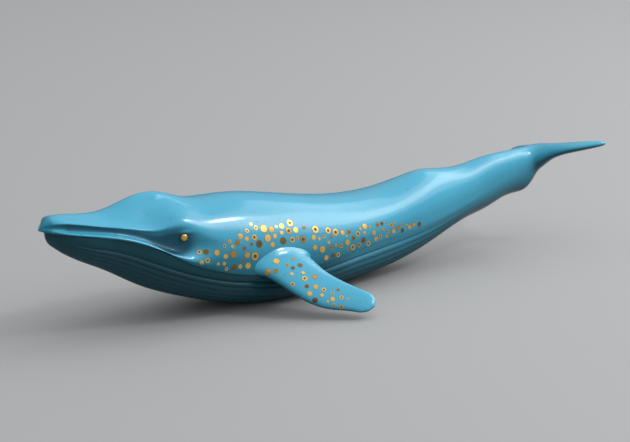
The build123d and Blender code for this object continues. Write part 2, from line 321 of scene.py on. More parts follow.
# %% [markdown]
# ## The lower body
# The throat and belly are pleated: long smooth ridges between narrow grooves, which start under a smooth
# lower lip and fade out towards the tail. The section is half an ellipse, and each groove is a soft dip in
# it. The belly is ground flat where the whale rests, and a round hole lets the kiln gases out.

# %% Turns of the pleats
pleat_count = 16
lip_turn_shares = np.array([(0, 22), (0.097, 22), (0.153, 20.9), (0.194, 18), (0.234, 15.8), (0.306, 13.6),
                            (0.403, 12.1), (1, 12.1)])
jaw_share = 0.010
jaw_round_share = 0.008
lower_rows, points_per_pleat, lip_points = 240, 10, 8

along, full = rounded_run(jaw_share, tail_share, jaw_round_share, lower_rows)
row = body_at(along)
lip_turn = np.radians(np.interp(along, *lip_turn_shares.T))[:, None]
sweep = np.concatenate([np.linspace(-1, 0, lip_points, endpoint=False),
                        np.linspace(0, pleat_count, pleat_count * points_per_pleat + 1),
                        pleat_count + np.linspace(1, 0, lip_points, endpoint=False)[::-1]])
inside = np.clip(sweep / pleat_count, 0, 1)
outside = np.where(sweep < 0, sweep, np.where(sweep > pleat_count, sweep - pleat_count, 0))
angle = lip_turn * (1 + outside) + (pi - 2 * lip_turn) * inside
angle = np.where(outside > 0, pi - lip_turn * (1 - outside), angle)
lip_degrees = np.degrees(lip_turn)
print("lip turn in degrees from", lip_degrees.min().round(1), "to", lip_degrees.max().round(1))

# %% Lower body skin
pleat_depth = 0.8 * mm
groove_share = 0.2
half_pleat = 0.5
jaw_depth_share = 0.4

on_pleats = (sweep >= -half_pleat) & (sweep <= pleat_count + half_pleat)
nearest = np.where(on_pleats, np.abs(sweep - np.round(sweep)), 1)
groove = np.exp(-(nearest / groove_share)**2) * row.pleat[:, None] * pleat_depth
depth = (row.seam - row.keel)[:, None]
half_across = row.belly + (row.flank - row.belly) * closing(along)
across = (half_across[:, None] - groove) * np.cos(angle) * full[:, None]
jaw_full = jaw_depth_share + (1 - jaw_depth_share) * full[:, None]
up = row.seam[:, None] - (depth - groove) * np.sin(angle) * jaw_full
lengthwise = np.broadcast_to(row.along[:, None], across.shape)
lower_grid = np.stack([lengthwise, across, np.maximum(up, 0)], axis=-1)
lower_skin = skin_rings("lower_body_skin", with_floor(lower_grid))

# %% Drill the kiln vent
vent_diameter, vent_depth, vent_sides = 4 * mm, 3.6 * mm, 48
vent_share = 0.371


def settle(piece):
    """Turns what a piece's modifiers make into its own plain mesh."""
    bpy.context.view_layer.update()
    made = bpy.data.meshes.new_from_object(piece.evaluated_get(bpy.context.evaluated_depsgraph_get()))
    piece.modifiers.clear()
    piece.data = made
    made.shade_smooth()
    made.set_sharp_from_angle(angle=crease_angle)
    print(piece.name, "settled", len(made.polygons), "faces")


bpy.ops.mesh.primitive_cylinder_add(vertices=vent_sides, radius=vent_diameter / 2, depth=2 * vent_depth,
                                    location=(cad_low.x + body_length * vent_share, 0, 0))
drill = bpy.context.object
cut = lower_skin.modifiers.new("vent", "BOOLEAN")
cut.operation, cut.solver, cut.object = "DIFFERENCE", "MANIFOLD", drill
settle(lower_skin)
bpy.data.objects.remove(drill)

# %% [markdown]
# ## The flippers
# A flipper is a swept paddle whose leading edge turns down. Its sections ride along a straight line from the
# seat on the flank to the tip. Clay that is luted on gets a fillet of slip round the joint, so points near
# the flank are pushed out along a quarter circle.

# %% Where the left flipper sits
flipper_along_share, flipper_height_share = 0.371, 0.4
flipper_sweep, flipper_droop, flipper_pitch = radians(39), radians(17), radians(38)


def flank_reach(x, z):
    """How far the skin lies from the middle plane at a place along the body and a height."""
    index = np.clip(np.searchsorted(upper_grid[:, 0, 0], x), 1, len(upper_grid) - 1)
    half = upper_grid[index, upper_points // 2:]
    upper = np.array([np.interp(height, line[::-1, 2], -line[::-1, 1]) for height, line in zip(z, half)])
    row = body_at((np.asarray(x) - cad_low.x) / body_length)
    sunk = np.clip((row.seam - z) / (row.seam - row.keel), 0, 1)
    return np.where(z < row.seam, row.belly * np.sqrt(1 - sunk**2), upper)


seat_x = cad_low.x + body_length * flipper_along_share
seat_z = back_height * flipper_height_share
seat = np.array([seat_x, -flank_reach(np.array([seat_x]), np.array([seat_z]))[0], seat_z])
axis = np.array([sin(flipper_sweep) * cos(flipper_droop), -cos(flipper_sweep) * cos(flipper_droop),
                 -sin(flipper_droop)])
print("flipper seat in mm", (seat / mm).round(1))

# %% Sections of the flipper
flipper_shares = np.array([
    (-0.12, 1, 1, 0, 0.08),
    (0.12, 0.8, 0.82, 0.3, 0.15),
    (0.36, 0.65, 0.58, 0.8, 0.24),
    (0.6, 0.53, 0.44, 1, 0.244),
    (0.82, 0.41, 0.34, 1, 0.2),
    (0.95, 0.28, 0.23, 1, 0.18),
    (1, 0.12, 0.12, 1, 0.17),
])
flipper_length, flipper_chord, flipper_thickness = 35.1 * mm, 24 * mm, 9.5 * mm
tip_round_share = 0.035
section_fullness = 0.9
flipper_rows, flipper_points = 120, 72

from_tip, tip_full = rounded_run(0, 1, tip_round_share, flipper_rows)
flipper_along, full = (1 - from_tip * (1 - flipper_shares[0, 0]))[::-1], tip_full[::-1]
chord, thick, turn, ahead = smooth_through(flipper_shares[:, 0], flipper_shares[:, 1:], flipper_along).T
turn = np.clip(turn, 0, 1)
around = np.linspace(0, 2 * pi, flipper_points, endpoint=False)
upright_part = np.sign(np.sin(around)) * np.abs(np.sin(around))**section_fullness
flat = np.stack([np.cos(around), upright_part], axis=-1)
print("flipper sections", len(flipper_along))

# %% Flipper paddles
fillet = 1.8 * mm
root_evening, root_end_share = 16, 0.6


def unit(vector):
    """The same direction with length one."""
    return vector / np.linalg.norm(vector)


rings = []
for place, wide, deep, turned, forward, fill in zip(flipper_along, chord, thick, turn, ahead, full):
    square = unit(np.array([0, -1, 0]) * (1 - turned) + axis * turned)
    level = unit(np.cross([0, 0, 1], square))
    upright = np.cross(square, level)
    pitch = flipper_pitch * turned
    chordwise = level * cos(pitch) + upright * sin(pitch)
    topward = upright * cos(pitch) - level * sin(pitch)
    middle = seat + axis * flipper_length * place - chordwise * flipper_chord * forward
    half_chord, half_thick = flipper_chord * wide / 2 * fill, flipper_thickness * deep / 2 * fill
    ring = middle + flat[:, :1] * half_chord * chordwise + flat[:, 1:] * half_thick * topward
    away = ring - middle
    away = away / np.maximum(np.linalg.norm(away, axis=1, keepdims=True), tiny)
    clear = np.clip(-ring[:, 1] - flank_reach(ring[:, 0], ring[:, 2]), 0, fillet)
    flare = fillet - np.sqrt(fillet**2 - (fillet - clear)**2)
    rings.append(ring + away * flare[:, None])
flipper_grid = np.array(rings)
for _ in range(root_evening):
    calm = (flipper_grid[:-2] + 2 * flipper_grid[1:-1] + flipper_grid[2:]) / 4
    flipper_grid[1:-1] += (calm - flipper_grid[1:-1]) * (flipper_along[1:-1, None, None] < root_end_share)
left_flipper = skin_rings("left_flipper_paddle", flipper_grid)
right_flipper = skin_rings("right_flipper_paddle", flipper_grid * (1, -1, 1))

# %% [markdown]
# ## The tail flukes
# The deep tail stock runs into a crescent blade, and on the real cast the two flow together: the blade's
# front edge droops at its root, so that its top runs on from the side of the stock. Joining two simple
# closed forms and remeshing them gives one skin, and smoothing it rounds the inner corner as slip would.
# Near the luting line the points are put back on the exact section, so the body runs on unbroken.

# %% Tail stock
stock_end_share = 0.952
hidden_start_share = 0.845
stock_rows, stock_points = 60, 96


def stock_rings(shares):
    """Closed rings round the tail stock at places along it."""
    row = body_at(shares)
    over = even_curve(upper_sections(row), stock_points // 2 + 1)
    under = np.linspace(pi, 0, stock_points // 2 + 1)[1:-1]
    low = np.stack([row.belly[:, None] * np.cos(under),
                    row.seam[:, None] - (row.seam - row.keel)[:, None] * np.sin(under)], axis=-1)
    ring = np.concatenate([over, low], axis=1)
    return np.concatenate([np.broadcast_to(row.along[:, None, None], (*ring.shape[:2], 1)), ring], axis=-1)


stock = skin_rings("tail_stock", stock_rings(np.linspace(hidden_start_share, stock_end_share, stock_rows)))

# %% Fluke blade
fluke_shares = np.array([
    (0, 0.12, 0.62, 1),
    (0.3, 0.26, 0.62, 0.85),
    (0.6, 0.4, 0.8, 0.66),
    (0.85, 0.62, 0.96, 0.46),
    (1, 0.88, 1, 0.26),
])
fluke_span, fluke_length, fluke_thickness = 53 * mm, 27 * mm, 6.4 * mm
fluke_height, fluke_roll = 38.9 * mm, radians(12)
root_swell, root_swell_span = 4.2 * mm, 7 * mm
lead_droop, lead_droop_span = 3.4 * mm, 15 * mm
fluke_tip_share = 0.04
blade_rows, blade_points = 120, 64

place = np.sin(np.linspace(-pi / 2, pi / 2, blade_rows))
mirrored = np.concatenate([fluke_shares[:0:-1] * (-1, 1, 1, 1), fluke_shares])
lead, trail, thick = smooth_through(mirrored[:, 0], mirrored[:, 1:], place).T
tip_full = np.sqrt(np.clip((1 - np.abs(place)) / fluke_tip_share, 0, 1))
around = np.linspace(0, 2 * pi, blade_points, endpoint=False)
span, half_chord = place * fluke_span / 2, (trail - lead) / 2 * fluke_length * tip_full
middle = cad_high.x - fluke_length + (lead + trail) / 2 * fluke_length
half_thick = thick * fluke_thickness / 2 * tip_full
swell = root_swell * np.exp(-(span / root_swell_span)**2)
lift = (half_thick[:, None] + swell[:, None] * (np.sin(around) < 0)) * np.sin(around)
droop = lead_droop * np.exp(-(span / lead_droop_span)**2)
lift = lift - droop[:, None] * ((1 - np.cos(around)) / 2)**2
x = middle[:, None] + half_chord[:, None] * np.cos(around)
y = span[:, None] * cos(fluke_roll) + lift * sin(fluke_roll)
z = fluke_height - span[:, None] * sin(fluke_roll) + lift * cos(fluke_roll)
blade = skin_rings("fluke_blade", np.stack([x, y, z], axis=-1))

# %% One skin over stock and blade
voxel = 0.4 * mm
soften_share, soften_passes = 0.5, 6

bpy.ops.object.select_all(action="DESELECT")
for piece in (blade, stock):
    piece.select_set(True)
bpy.context.view_layer.objects.active = stock
bpy.ops.object.join()
flukes = stock
flukes.name = "tail_flukes_cast"
remesh = flukes.modifiers.new("one skin", "REMESH")
remesh.mode, remesh.voxel_size = "VOXEL", voxel
soften = flukes.modifiers.new("soften", "SMOOTH")
soften.factor, soften.iterations = soften_share, soften_passes
settle(flukes)


# %% Points, directions and neighbours of a mesh
def points_of(mesh):
    """The places of a mesh's points, as an array of rows."""
    places = np.empty(len(mesh.vertices) * 3)
    mesh.vertices.foreach_get("co", places)
    return places.reshape(-1, 3)


def normals_of(mesh):
    """The outward directions at a mesh's points, as an array of rows."""
    outward = np.empty(len(mesh.vertices) * 3)
    mesh.vertex_normals.foreach_get("vector", outward)
    return outward.reshape(-1, 3)


def neighbour_mean(mesh):
    """A function that gives, for values at a mesh's points, the mean over each point's neighbours."""
    count = len(mesh.vertices)
    ends = np.empty(len(mesh.edges) * 2, int)
    mesh.edges.foreach_get("vertices", ends)
    first, second = ends.reshape(-1, 2).T
    here, there = np.concatenate([first, second]), np.concatenate([second, first])
    weight = np.bincount(here, minlength=count).clip(1)

    def mean(values):
        columns = values.reshape(count, -1)
        total = np.stack([np.bincount(here, column[there], count) / weight for column in columns.T], axis=-1)
        return total.reshape(values.shape)

    return mean


# %% Round the inner corner
root_from_tips = 21 * mm
root_reach = np.array([11.0, 11.0, 10.0]) * mm
fill_passes, even_passes = 600, 40

root_centre = np.array([cad_high.x - root_from_tips, 0, fluke_height])
points, outward, beside = points_of(flukes.data), normals_of(flukes.data), neighbour_mean(flukes.data)
near_root = np.exp(-(((points - root_centre) / root_reach)**2).sum(axis=1))[:, None]
for _ in range(fill_passes):
    rise = ((beside(points) - points) * outward).sum(axis=1, keepdims=True)
    points = points + outward * np.maximum(rise, 0) * near_root / 2
for _ in range(even_passes):
    points = points + (beside(points) - points) * near_root / 2
print("points of the flukes", len(points))

# %% Return the joint to its exact section
exact_end, loose_end = 2 * mm, 8 * mm
tuck, tuck_run = 0.25 * mm, 1 * mm

tail_x = cad_low.x + body_length * tail_share
share = np.clip((points[:, 0] - cad_low.x) / body_length, hidden_start_share, stock_end_share)
hold = np.clip((tail_x + loose_end - points[:, 0]) / (loose_end - exact_end), 0, 1)
near = np.flatnonzero(hold > 0)
exact = stock_rings(share[near])[:, :, 1:]
centre = exact.mean(axis=1)
ray = points[near, 1:] - centre
bearing = np.arctan2(ray[:, 1], ray[:, 0])
for index, ring, mid, turn in zip(near, exact, centre, bearing):
    spoke = ring - mid
    turns = np.arctan2(spoke[:, 1], spoke[:, 0])
    order = np.argsort(turns)
    radius = np.interp(turn, turns[order], np.linalg.norm(spoke, axis=1)[order], period=2 * pi)
    radius = radius - tuck * np.clip((tail_x - points[index, 0]) / tuck_run, 0, 1)
    target = mid + radius * np.array([cos(turn), sin(turn)])
    points[index, 1:] += (target - points[index, 1:]) * hold[index]
flukes.data.vertices.foreach_set("co", points.ravel())
flukes.data.update()
print("points returned to the section", len(near))

# %% [markdown]
# ## The eyes
# Each eye is a bead of clay pressed into a dimple and gilded. A profile turned about the line straight out
# of the head gives the dome, with a small lip at its foot.

# %% Eye beads
bead_profile_shares = np.array([(0, -0.6), (0.7, -0.6), (0.98, -0.1), (1, 0.12), (0.93, 0.36), (0.76, 0.56),
                                (0.5, 0.68), (0.22, 0.72), (0, 0.73)])
bead_radius = 1.4 * mm
bead_turns, bead_steps = 40, 24


def bead(name, centre, outward):
    """A domed bead whose round foot sits at the centre and faces outward."""
    outward = unit(outward)
    first = unit(np.cross(outward, [0, 0, 1]))
    second = np.cross(outward, first)
    curve = even_curve(bead_profile_shares[None], bead_steps)[0] * bead_radius
    around = np.linspace(0, 2 * pi, bead_turns, endpoint=False)
    radial = np.cos(around)[:, None] * first + np.sin(around)[:, None] * second
    rings = centre + np.maximum(curve[:, 0], 0)[:, None, None] * radial + curve[:, 1][:, None, None] * outward
    return skin_rings(name, rings)


upper_normals = outward_of(upper_grid)
distance = np.linalg.norm(upper_grid - eye_place * (1, -1, 1), axis=-1)
socket = np.unravel_index(np.argmin(distance), distance.shape)
left_eye = bead("left_eye_bead", upper_grid[socket], upper_normals[socket])
right_eye = bead("right_eye_bead", upper_grid[socket] * (1, -1, 1), upper_normals[socket] * (1, -1, 1))

# %% [markdown]
# ## Gold spots
# The decorator dots liquid gold on with a brush: a drop dries flat with a dark rim, and some are left open in
# the middle. The spots crowd round the flippers, small and large mixed, and thin out towards the tail. Places
# are thrown like darts with a fixed seed, and one is kept only if it is clear of the others. A node tree then
# sets one small flat spot on every place, turns it to the surface and lays its points down on the glaze.

# %% Throw the places of the spots
Thrown = namedtuple("Thrown", "places outward radii")
spot_gap = 0.45 * mm
smallest_share, usual_share = 0.3, 0.85


def throw_spots(places, outward, radii, wanted, seed):
    """Places, directions and radii of the wanted number of spots, of which no two touch."""
    dice = np.random.default_rng(seed)
    kept = []
    for pick in dice.permutation(len(places)):
        radius = radii[pick] * dice.triangular(smallest_share, usual_share, 1.0)
        if all(np.linalg.norm(places[pick] - place) > radius + other + spot_gap for place, _, other in kept):
            kept.append((places[pick], outward[pick], radius))
        if len(kept) == wanted:
            break
    return Thrown(*[np.array(column) for column in zip(*kept)])


# %% Where spots may lie on the flanks
band_shares = np.array([(0.214, 0.05, 0.11), (0.225, 0.03, 0.14), (0.258, 0.03, 0.22), (0.282, 0.03, 0.32),
                        (0.314, 0.03, 0.43), (0.377, 0.03, 0.41), (0.432, 0.03, 0.29), (0.491, 0.02, 0.19),
                        (0.554, 0.02, 0.17), (0.637, 0.02, 0.05)])
flank_spot, root_spot, spot_spread_share = 1.2 * mm, 1.9 * mm, 0.11
root_reach_x, root_reach_z, root_ahead = 15.4 * mm, 8.2 * mm, 1.9 * mm

row_shares = (upper_grid[:, :1, 0] - cad_low.x) / body_length
above_lip = (upper_grid[..., 2] - upper_grid[:, :1, 2]) / back_height
low_edge = np.interp(row_shares, band_shares[:, 0], band_shares[:, 1])
high_edge = np.interp(row_shares, band_shares[:, 0], band_shares[:, 2])
in_band = (above_lip > low_edge) & (above_lip < high_edge)
in_band = in_band & (row_shares > band_shares[0, 0]) & (row_shares < band_shares[-1, 0])
from_seat = upper_grid - seat
root_x, root_z = (from_seat[..., 0] + root_ahead) / root_reach_x, from_seat[..., 2] / root_reach_z
in_band = in_band & (root_x**2 + root_z**2 > 1)
near_seat = np.exp(-(np.hypot(from_seat[..., 0], from_seat[..., 2]) / body_length / spot_spread_share)**2)
spot_size = flank_spot + (root_spot - flank_spot) * near_seat
print("band points", int(in_band.sum()))

# %% Where spots may lie on the flippers
flipper_reach_share, lead_half, top_slope, root_clear = 0.72, 0.2, 0.3, 2.2 * mm
flipper_spot, flipper_taper = 1.5 * mm, 0.45

flipper_normals = -outward_of(flipper_grid)
from_middle = flipper_grid - flipper_grid.mean(axis=1, keepdims=True)
flipper_normals *= np.sign((flipper_normals * from_middle).sum())
proud = -flipper_grid[..., 1] - np.array([flank_reach(ring[:, 0], ring[:, 2]) for ring in flipper_grid])
on_top = (flipper_normals[..., 2] > top_slope) & (proud > root_clear) & (flat[:, 0] < lead_half)
on_top = on_top & (flipper_along[:, None] < flipper_reach_share)
taper = 1 - flipper_taper * np.clip(flipper_along, 0, 1)
flipper_size = flipper_spot * taper[:, None] * np.ones_like(proud)
print("flipper points", int(on_top.sum()))

# %% One flat spot
spot_profile_shares = [(0, 1), (0.5, 1), (0.97, 1), (1, -0.5)]
spot_sides = 12


def flat_spot():
    """One flat spot of radius one; its height and ring are kept as attributes for the tree and the gold."""
    points, rise, ring = [(0, 0, 0)], [spot_profile_shares[0][1]], [0.0]
    faces = []
    for step, (reach, height) in enumerate(spot_profile_shares[1:]):
        start = len(points)
        inner = start - spot_sides
        for side in range(spot_sides):
            turn = 2 * pi * side / spot_sides
            points.append((reach * cos(turn), reach * sin(turn), 0))
            rise.append(height)
            ring.append(reach)
            after = (side + 1) % spot_sides
            faces.append((0, start + side, start + after) if step == 0 else
                         (inner + side, start + side, start + after, inner + after))
    faces.extend((len(points), start + (side + 1) % spot_sides, start + side) for side in range(spot_sides))
    points.append((0, 0, 0))
    rise.append(spot_profile_shares[-1][1])
    ring.append(0.0)
    mesh = bpy.data.meshes.new("flat_spot")
    mesh.from_pydata(points, [], faces)
    for name, values in (("rise", rise), ("ring", ring)):
        mesh.attributes.new(name, "FLOAT", "POINT").data.foreach_set("value", values)
    mesh.shade_smooth()
    template = bpy.data.objects.new("flat_spot", mesh)
    bpy.context.scene.collection.objects.link(template)
    return template


# %% The tree that lays spots on a skin
def spot_tree(template, skin, gold):
    """A tree that puts the spot on each point, turned outwards, and lays it on the skin."""
    tree = bpy.data.node_groups.new("gold spots", "GeometryNodeTree")
    tree.interface.new_socket("Places", in_out="INPUT", socket_type="NodeSocketGeometry")
    film = tree.interface.new_socket("Film", in_out="INPUT", socket_type="NodeSocketFloat")
    tree.interface.new_socket("Spots", in_out="OUTPUT", socket_type="NodeSocketGeometry")
    add, link = tree.nodes.new, tree.links.new
    start, end = add("NodeGroupInput"), add("NodeGroupOutput")

    def stored(name, kind):
        node = add("GeometryNodeInputNamedAttribute")
        node.data_type = kind
        node.inputs["Name"].default_value = name
        return node.outputs["Attribute"]

    def object_shape(shape):
        node = add("GeometryNodeObjectInfo")
        node.inputs["Object"].default_value = shape
        return node.outputs["Geometry"]

    turn = add("FunctionNodeAlignRotationToVector")
    turn.axis = "Z"
    link(stored("outward", "FLOAT_VECTOR"), turn.inputs["Vector"])
    place = add("GeometryNodeInstanceOnPoints")
    link(start.outputs["Places"], place.inputs["Points"])
    link(object_shape(template), place.inputs["Instance"])
    link(turn.outputs["Rotation"], place.inputs["Rotation"])
    link(stored("radius", "FLOAT"), place.inputs["Scale"])
    real = add("GeometryNodeRealizeInstances")
    link(place.outputs["Instances"], real.inputs["Geometry"])
    nearest = add("GeometryNodeProximity")
    nearest.target_element = "FACES"
    link(object_shape(skin), nearest.inputs[0])
    height = add("ShaderNodeMath")
    height.operation = "MULTIPLY"
    link(stored("rise", "FLOAT"), height.inputs[0])
    link(start.outputs["Film"], height.inputs[1])
    lifted = add("ShaderNodeVectorMath")
    lifted.operation = "SCALE"
    link(stored("outward", "FLOAT_VECTOR"), lifted.inputs[0])
    link(height.outputs[0], lifted.inputs["Scale"])
    laid = add("ShaderNodeVectorMath")
    link(nearest.outputs["Position"], laid.inputs[0])
    link(lifted.outputs[0], laid.inputs[1])
    lay = add("GeometryNodeSetPosition")
    link(real.outputs["Geometry"], lay.inputs["Geometry"])
    link(laid.outputs[0], lay.inputs["Position"])
    paint = add("GeometryNodeSetMaterial")
    paint.inputs["Material"].default_value = gold
    link(lay.outputs["Geometry"], paint.inputs["Geometry"])
    link(paint.outputs["Geometry"], end.inputs["Spots"])
    return tree, film.identifier


# %% Lay a set of spots
open_chance = 0.35
spot_film = 0.06 * mm


def lay_spots(name, thrown, skin, gold, seed):
    """A plain mesh of spots on a skin, one for each thrown place, some of them open in the middle."""
    dice = np.random.default_rng(seed)
    opened = (dice.random(len(thrown.radii)) < open_chance).astype(float)
    thin = dice.random(len(thrown.radii))
    cloud = bpy.data.meshes.new(name)
    cloud.from_pydata(thrown.places, [], [])
    outward = cloud.attributes.new("outward", "FLOAT_VECTOR", "POINT")
    outward.data.foreach_set("vector", thrown.outward.ravel())
    for key, values in (("radius", thrown.radii), ("open", opened), ("thin", thin)):
        cloud.attributes.new(key, "FLOAT", "POINT").data.foreach_set("value", values)
    piece = bpy.data.objects.new(name, cloud)
    bpy.context.scene.collection.objects.link(piece)
    template = flat_spot()
    tree, film_socket = spot_tree(template, skin, gold)
    nodes = piece.modifiers.new("gold spots", "NODES")
    nodes.node_group = tree
    nodes[film_socket] = spot_film
    settle(piece)
    bpy.data.objects.remove(template)
    print(name, len(thrown.radii), "spots")
    return piece


# %% [markdown]
# ## Blue glaze
# A thick glaze isn't one colour: it runs off edges, where it is pale and thin, and pools in hollows, where it
# is deep. Shade is painted into the colour as well: a dark teal where the skin faces down, on the throat, low
# on the flanks and at the nose, and a deep blue in the cove and the hollow in front of the eye. So each skin
# stores how hollow it is at every point, worked out from its neighbours, how far it faces down and where the
# painted shade goes, and the glaze mixes its blues by them. Where shade is painted the glaze also reflects
# less, as painted shade on its shine. A few fine specks, a slow drift of tone and a faint orange-peel ripple
# come from noise.

# %% Painted shade on the upper body
flank_shade_height_share = 0.4
# Painted shade low on the flank and at the nose, by place along the body.
flank_shade_shares = np.array([(0, 0.6), (0.04, 0.35), (0.09, 0.1), (0.13, 0), (0.18, 0), (0.24, 0.42),
                               (0.4, 0.4), (0.5, 0.25), (0.65, 0)])
# Where the painted shade in the cove peaks lower, near the eye.
cove_shade_top_shares = np.array([(0, 1), (0.13, 1), (0.165, 0.7), (1, 0.7)])


def upper_painted_shade(places):
    """Painted shade in the cove, and painted shade low on the flank and at the nose, at the given places."""
    share = np.clip((places[:, 0] - cad_low.x) / body_length, 0, tail_share)
    row = body_at(share)
    lip, edge = lip_and_edge(row)
    above_seam = places[:, 2] - row.seam
    part = np.clip((above_seam - lip) / (edge - lip) / np.interp(share, *cove_shade_top_shares.T), 0, 1)
    low = np.clip(1 - above_seam / (flank_shade_height_share * back_height), 0, 1)
    return 4 * part * (1 - part) * row.cove**2, low * np.interp(share, *flank_shade_shares.T)


# %% How hollow a skin is
hollow_passes, hollow_gain = 5, 0.9 * mm
joint_fade = 2 * mm


def hollow_of(mesh, places, normal, beside):
    """How hollow a mesh is at each point: above nought in grooves, below nought on edges."""
    middle, square = beside(places), (places**2).sum(axis=1)
    spread = beside(square) - 2 * (middle * places).sum(axis=1) + square
    hollow = ((middle - places) * normal).sum(axis=1) / np.maximum(spread, tiny) * 2
    if "sharp_edge" in mesh.attributes:
        ends, sharp = np.empty(len(mesh.edges) * 2, int), np.empty(len(mesh.edges), bool)
        mesh.edges.foreach_get("vertices", ends)
        mesh.attributes["sharp_edge"].data.foreach_get("value", sharp)
        hollow[ends.reshape(-1, 2)[sharp].ravel()] = 0
    for _ in range(hollow_passes):
        hollow = (hollow + beside(hollow)) / 2
    return np.clip(hollow * hollow_gain, -1, 1) * np.clip(np.abs(places[:, 0] - tail_x) / joint_fade, 0, 1)


# %% Mark every skin for the glaze
# The passes blur the painted shade on the lower body; the eye and cove strengths and the throat table set
# more painted shade.
belly_passes, rim_slope = 40, 0.6
eye_hollow_shade, cove_shade, fluke_pool, ridge_thinning = 0.4, 0.24, 0.25, 0.25
throat_shade_shares = np.array([(0, 1.4), (0.3, 1.2), (0.4, 0.45), (0.5, 0), (0.6, 0), (0.7, 0.08), (0.86, 0)])


def mark_glaze(piece):
    """Stores how hollow the surface is, with painted shade added in the cove and eye hollow, and a painted
    shade value that grows where it faces down, low on the flank, at the nose and on the throat.
    """
    mesh = piece.data
    places, normal, beside = points_of(mesh), normals_of(mesh), neighbour_mean(mesh)
    hollow = hollow_of(mesh, places, normal, beside) + eye_hollow_shade * swelling(places, eye_hollow)
    # Painted shade: skin that faces down is drawn darker.
    under = -normal[:, 2]
    if piece is flukes:
        hollow = hollow * fluke_pool
    # On the upper body, painted shade in the cove, low on the flank and at the nose.
    if piece is upper_skin:
        under = np.where(under > rim_slope, 0, under)
        cove, low = upper_painted_shade(places)
        hollow, under = hollow + cove_shade * cove, under + low
    # On the lower body the painted shade is blurred and grows towards the throat.
    if piece is lower_skin:
        under = np.where(under < -rim_slope, 0, under)
        for _ in range(belly_passes):
            under = (under + beside(under)) / 2
        under = under + np.interp((places[:, 0] - cad_low.x) / body_length, *throat_shade_shares.T)
        hollow = np.maximum(hollow, hollow * ridge_thinning)
    for name, values in (("hollow", hollow), ("under", under)):
        mesh.attributes.new(name, "FLOAT", "POINT").data.foreach_set("value", values)
    print(piece.name, "hollow from", round(float(hollow.min()), 2), "to", round(float(hollow.max()), 2))


glazed = [upper_skin, lower_skin, left_flipper, right_flipper, flukes]
for piece in glazed:
    mark_glaze(piece)

# %% The nodes that both finishes are made of
mix_first, mix_second, mix_result = 6, 7, 2


class Finish:
    """A material with its shader, and the few kinds of nodes that feed it."""

    def __init__(self, name, blend):
        self.material = bpy.data.materials.new(name)
        self.material.use_nodes = True
        self.nodes, self.link = self.material.node_tree.nodes, self.material.node_tree.links.new
        self.shader = self.nodes["Principled BSDF"]
        self.place = self.nodes.new("ShaderNodeTexCoord").outputs["Object"]
        self.blend = blend

    def feed(self, value, name):
        """Sends a node's value to a socket of the shader."""
        self.link(value, self.shader.inputs[name])

    def stored(self, name):
        """The value that a mesh keeps under a name."""
        node = self.nodes.new("ShaderNodeAttribute")
        node.attribute_name = name
        return node.outputs["Fac"]

    def noise(self, scale, detail=2.0):
        """Cloudy noise of so many lumps to the metre."""
        node = self.nodes.new("ShaderNodeTexNoise")
        node.inputs["Scale"].default_value = scale
        node.inputs["Detail"].default_value = detail
        self.link(self.place, node.inputs["Vector"])
        return node.outputs["Fac"]

    def ranged(self, value, source, result=(0.0, 1.0)):
        """A value moved from one range to another and held inside it."""
        node = self.nodes.new("ShaderNodeMapRange")
        node.interpolation_type = self.blend
        self.link(value, node.inputs["Value"])
        for name, number in zip(("From Min", "From Max", "To Min", "To Max"), (*source, *result)):
            node.inputs[name].default_value = number
        return node.outputs["Result"]

    def combined(self, operation, first, second):
        """Two values put together by one sum."""
        node = self.nodes.new("ShaderNodeMath")
        node.operation = operation
        self.link(first, node.inputs[0])
        self.link(second, node.inputs[1])
        return node.outputs[0]

    def mixed(self, factor, first, second):
        """Two colours mixed by a factor; each is a tuple or comes from a node."""
        node = self.nodes.new("ShaderNodeMix")
        node.data_type = "RGBA"
        self.link(factor, node.inputs["Factor"])
        for socket, colour in ((node.inputs[mix_first], first), (node.inputs[mix_second], second)):
            if isinstance(colour, tuple):
                socket.default_value = colour
            else:
                self.link(colour, socket)
        return node.outputs[mix_result]


# %% Glaze colours and ranges
glaze_blue = (0.036, 0.41, 0.61, 1)
drifted_blue = (0.03, 0.38, 0.58, 1)
# The deep blue is pooled glaze and also painted shade in the cove and eye hollow; the dark teal is painted
# shade on the underside.
pool_and_shade_blue = (0.008, 0.075, 0.12, 1)
belly_shade_teal = (0.006, 0.06, 0.08, 1)
thin_blue = (0.11, 0.5, 0.7, 1)
speck_brown = (0.02, 0.05, 0.07, 1)
bare_clay = (0.72, 0.68, 0.6, 1)
drift_scale, drift_range = 28, (0.35, 0.68)
# The first range sets how far the painted underside shade reaches.
underside_shade_range, pool_range = (-0.5, 0.7), (0.02, 0.35)
thin_range, thin_most = (-0.1, -0.6), 0.6
speck_scale, speck_range, speck_most = 1100, (0.76, 0.82), 0.3
bare_heights, bare_roughness = (0.25 * mm, 0.12 * mm), 0.5
gloss_scale, gloss_range, gloss_roughness = 60, (0.3, 0.7), (0.17, 0.25)
clear_to_deep_and_shaded_specular, clear_to_deep_and_shaded_coat = (0.5, 0.15), (0.4, 0.1)
ripple_scale, ripple_detail, ripple_strength, ripple_depth = 350, 1, 0.12, 0.15 * mm
glaze_refraction, coat_roughness = 1.52, 0.05


